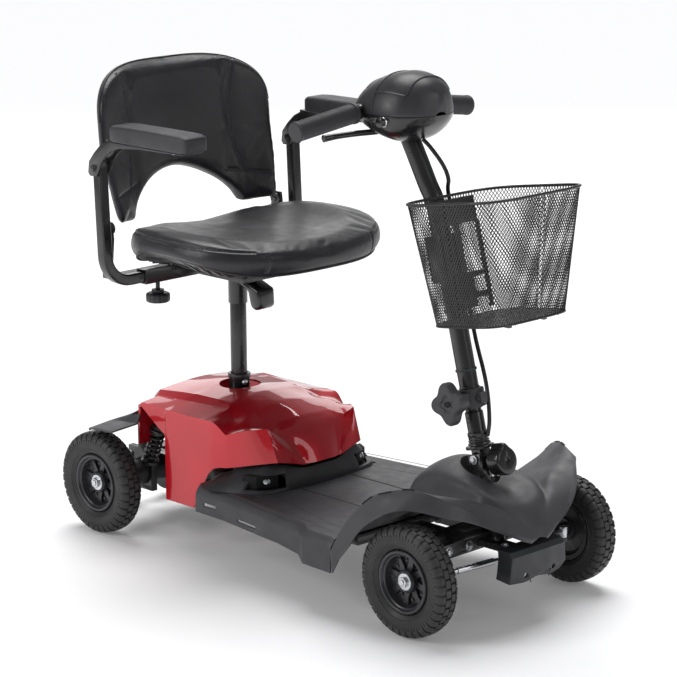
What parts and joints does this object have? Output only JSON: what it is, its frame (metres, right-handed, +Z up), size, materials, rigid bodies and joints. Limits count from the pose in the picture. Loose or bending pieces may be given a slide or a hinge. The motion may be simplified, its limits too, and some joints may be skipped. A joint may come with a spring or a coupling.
{
  "type": "mobility scooter",
  "caption": "Compact four-wheeled travel scooter with a swivel seat, flip-up armrests, steered front axle, tilting tiller, wire basket and red rear cover.",
  "frame": {"origin": "on the ground, midway between the axles, which is also the bottom centre of the bounding box", "axes": "+X forward towards the tiller and front wheels, +Y to the rider's left, +Z up"},
  "size_m": [1.0215, 0.518, 0.89],
  "materials": {
    "frame_black": "satin black powder coat",
    "grey_plastic": "fine textured dark grey moulding",
    "dark_plastic": "matt black moulding",
    "gloss_black": "glossy black moulding",
    "red_gloss": "metallic red gloss lacquer over a moulded shell",
    "seat_leather": "black coated upholstery with fine grain",
    "tyre": "matt black rubber",
    "grip_rubber": "soft black rubber",
    "cable_jacket": "smooth black jacket",
    "bare_steel": "zinc plated",
    "chrome": "polished",
    "wire_black": "black coated wire mesh",
    "lever_yellow": "yellow moulding",
    "horn_amber": "amber moulding"
  },
  "bodies": {
    "chassis": {"frame_front": "frame_black", "frame_rear": "frame_black", "transaxle_housing": "dark_plastic", "drive_motor": "frame_black", "floor_deck": "grey_plastic", "front_cowl": "grey_plastic", "front_bumper": "grey_plastic", "rear_fender_right": "grey_plastic", "rear_fender_left": "grey_plastic", "rear_shroud": "red_gloss", "battery_case": "dark_plastic", "battery_pack": "dark_plastic", "seat_post_receiver": "frame_black"},
    "steering": {"steering_stem": "frame_black"},
    "tilt_knob": {"tilt_lock_knob": "gloss_black"},
    "tiller": {"tiller_lower_tube": "frame_black"},
    "tiller_upper": {"tiller_clamp": "dark_plastic", "tiller_upper_tube": "frame_black", "tiller_cable": "cable_jacket", "basket": "wire_black", "basket_bracket": "frame_black", "head_lower_shell": "gloss_black", "head_upper_shell": "grey_plastic", "handlebar": "gloss_black", "grip_right": "grip_rubber", "grip_left": "grip_rubber"},
    "clamp_knob": {"tiller_clamp_knob": "dark_plastic"},
    "drive_lever": {"drive_lever": "gloss_black"},
    "speed_dial": {"speed_dial": "gloss_black"},
    "horn_button": {"horn_button": "horn_amber"},
    "key": {"key_switch": "chrome"},
    "seat_post": {"seat_post": "frame_black"},
    "seat": {"seat_frame": "frame_black", "seat_pan": "dark_plastic", "seat_cushion": "seat_leather"},
    "swivel_lever": {"swivel_lever": "gloss_black"},
    "backrest": {"backrest_cushion": "seat_leather", "backrest_frame": "frame_black"},
    "freewheel": {"freewheel_lever": "lever_yellow"},
    "knuckle_right": {"knuckle_right": "frame_black"},
    "track_rod_right": {"track_rod_right": "bare_steel"},
    "wheel_front_right": {"tyre_front_right": "tyre", "rim_front_right": "dark_plastic"},
    "wheel_rear_right": {"tyre_rear_right": "tyre", "rim_rear_right": "dark_plastic"},
    "knuckle_left": {"knuckle_left": "frame_black"},
    "track_rod_left": {"track_rod_left": "bare_steel"},
    "wheel_front_left": {"tyre_front_left": "tyre", "rim_front_left": "dark_plastic"},
    "wheel_rear_left": {"tyre_rear_left": "tyre", "rim_rear_left": "dark_plastic"},
    "armrest_right": {"armrest_tube_right": "frame_black"},
    "armrest_pad_right": {"armrest_pad_right": "dark_plastic"},
    "armrest_knob_right": {"armrest_knob_right": "gloss_black"},
    "armrest_left": {"armrest_tube_left": "frame_black"},
    "armrest_pad_left": {"armrest_pad_left": "dark_plastic"},
    "armrest_knob_left": {"armrest_knob_left": "gloss_black"},
    "antitip_right": {"antitip_wheel_right": "tyre"},
    "antitip_left": {"antitip_wheel_left": "tyre"}
  },
  "joints": [
    {"name": "steering_turn", "type": "hinge", "parent": "chassis", "child": "steering", "pos_m": [0.375, 0, 0.257], "axis": [-0.2487, 0, 0.9686], "range_deg": [-40, 40]},
    {"name": "knuckle_right_turn", "type": "hinge", "parent": "chassis", "child": "knuckle_right", "pos_m": [0.397, -0.15, 0.11], "axis": [0, 0, 1], "range_deg": [-42, 42]},
    {"name": "track_rod_right_swing", "type": "hinge", "parent": "knuckle_right", "child": "track_rod_right", "pos_m": [0.427, -0.15, 0.104], "axis": [0, 0, 1], "range_deg": [-42, 42]},
    {"name": "front_wheel_right_spin", "type": "hinge", "parent": "knuckle_right", "child": "wheel_front_right", "pos_m": [0.397, -0.197, 0.095], "axis": [0, 1, 0], "continuous": true},
    {"name": "rear_wheel_right_spin", "type": "hinge", "parent": "chassis", "child": "wheel_rear_right", "pos_m": [-0.397, -0.191, 0.095], "axis": [0, 1, 0], "continuous": true},
    {"name": "knuckle_left_turn", "type": "hinge", "parent": "chassis", "child": "knuckle_left", "pos_m": [0.397, 0.15, 0.11], "axis": [0, 0, 1], "range_deg": [-42, 42]},
    {"name": "track_rod_left_swing", "type": "hinge", "parent": "knuckle_left", "child": "track_rod_left", "pos_m": [0.427, 0.15, 0.104], "axis": [0, 0, 1], "range_deg": [-42, 42]},
    {"name": "front_wheel_left_spin", "type": "hinge", "parent": "knuckle_left", "child": "wheel_front_left", "pos_m": [0.397, 0.197, 0.095], "axis": [0, 1, 0], "continuous": true},
    {"name": "rear_wheel_left_spin", "type": "hinge", "parent": "chassis", "child": "wheel_rear_left", "pos_m": [-0.397, 0.191, 0.095], "axis": [0, 1, 0], "continuous": true},
    {"name": "tilt_knob_turn", "type": "hinge", "parent": "steering", "child": "tilt_knob", "pos_m": [0.41961, 0, 0.26019], "axis": [0.9686, 0, 0.2487], "range_deg": [0, 180]},
    {"name": "tiller_tilt", "type": "hinge", "parent": "steering", "child": "tiller", "pos_m": [0.375, 0, 0.257], "axis": [0, 1, 0], "range_deg": [0, 15]},
    {"name": "tiller_height", "type": "slide", "parent": "tiller", "child": "tiller_upper", "axis": [-0.2487, 0, 0.9686], "range_m": [0, 0.06]},
    {"name": "clamp_knob_turn", "type": "hinge", "parent": "tiller_upper", "child": "clamp_knob", "pos_m": [0.34988, -0.052, 0.35483], "axis": [0, -1, 0], "range_deg": [0, 180]},
    {"name": "drive_lever_turn", "type": "hinge", "parent": "tiller_upper", "child": "drive_lever", "pos_m": [0.165, 0, 0.786], "axis": [0, 0, 1], "range_deg": [-9, 9], "stiffness_Nm_per_rad": 0.6},
    {"name": "speed_dial_turn", "type": "hinge", "parent": "tiller_upper", "child": "speed_dial", "pos_m": [0.142, 0, 0.858], "axis": [0, 0, 1], "range_deg": [0, 270]},
    {"name": "horn_button_press", "type": "slide", "parent": "tiller_upper", "child": "horn_button", "axis": [0, 0, 1], "range_m": [-0.003, 0], "stiffness_N_per_m": 300},
    {"name": "key_turn", "type": "hinge", "parent": "tiller_upper", "child": "key", "pos_m": [0.214, -0.064, 0.812], "axis": [0, -1, 0], "range_deg": [0, 90]},
    {"name": "seat_height", "type": "slide", "parent": "chassis", "child": "seat_post", "axis": [0, 0, 1], "range_m": [0, 0.075]},
    {"name": "seat_swivel", "type": "hinge", "parent": "seat_post", "child": "seat", "pos_m": [-0.227, 0, 0.45], "axis": [0, 0, 1], "continuous": true},
    {"name": "swivel_lever_lift", "type": "hinge", "parent": "seat", "child": "swivel_lever", "pos_m": [-0.2, 0, 0.473], "axis": [0, -1, 0], "range_deg": [0, 8], "stiffness_Nm_per_rad": 0.5, "springref_deg": -5.73},
    {"name": "backrest_fold", "type": "hinge", "parent": "seat", "child": "backrest", "pos_m": [-0.34, 0, 0.577], "axis": [0, 1, 0], "range_deg": [0, 78]},
    {"name": "armrest_right_width", "type": "slide", "parent": "seat", "child": "armrest_right", "axis": [0, -1, 0], "range_m": [0, 0.05]},
    {"name": "armrest_right_lift", "type": "hinge", "parent": "armrest_right", "child": "armrest_pad_right", "pos_m": [-0.325, -0.232, 0.692], "axis": [0, -1, 0], "range_deg": [0, 95]},
    {"name": "armrest_knob_right_turn", "type": "hinge", "parent": "seat", "child": "armrest_knob_right", "pos_m": [-0.318, -0.112, 0.44], "axis": [0, 0, 1], "range_deg": [0, 180]},
    {"name": "armrest_left_width", "type": "slide", "parent": "seat", "child": "armrest_left", "axis": [0, 1, 0], "range_m": [0, 0.05]},
    {"name": "armrest_left_lift", "type": "hinge", "parent": "armrest_left", "child": "armrest_pad_left", "pos_m": [-0.325, 0.232, 0.692], "axis": [0, -1, 0], "range_deg": [0, 95]},
    {"name": "armrest_knob_left_turn", "type": "hinge", "parent": "seat", "child": "armrest_knob_left", "pos_m": [-0.318, 0.112, 0.44], "axis": [0, 0, 1], "range_deg": [0, 180]},
    {"name": "freewheel_shift", "type": "hinge", "parent": "chassis", "child": "freewheel", "pos_m": [-0.2, 0, 0.076], "axis": [1, 0, 0], "range_deg": [-30, 5]},
    {"name": "antitip_right_spin", "type": "hinge", "parent": "chassis", "child": "antitip_right", "pos_m": [-0.4889, -0.048, 0.04], "axis": [0, 1, 0], "continuous": true},
    {"name": "antitip_left_spin", "type": "hinge", "parent": "chassis", "child": "antitip_left", "pos_m": [-0.4889, 0.048, 0.04], "axis": [0, 1, 0], "continuous": true}
  ],
  "couplings": [
    {"joint": "knuckle_right_turn", "follows": "steering_turn", "ratio": 0.97},
    {"joint": "track_rod_right_swing", "follows": "steering_turn", "ratio": -0.97},
    {"joint": "knuckle_left_turn", "follows": "steering_turn", "ratio": 0.97},
    {"joint": "track_rod_left_swing", "follows": "steering_turn", "ratio": -0.97}
  ]
}
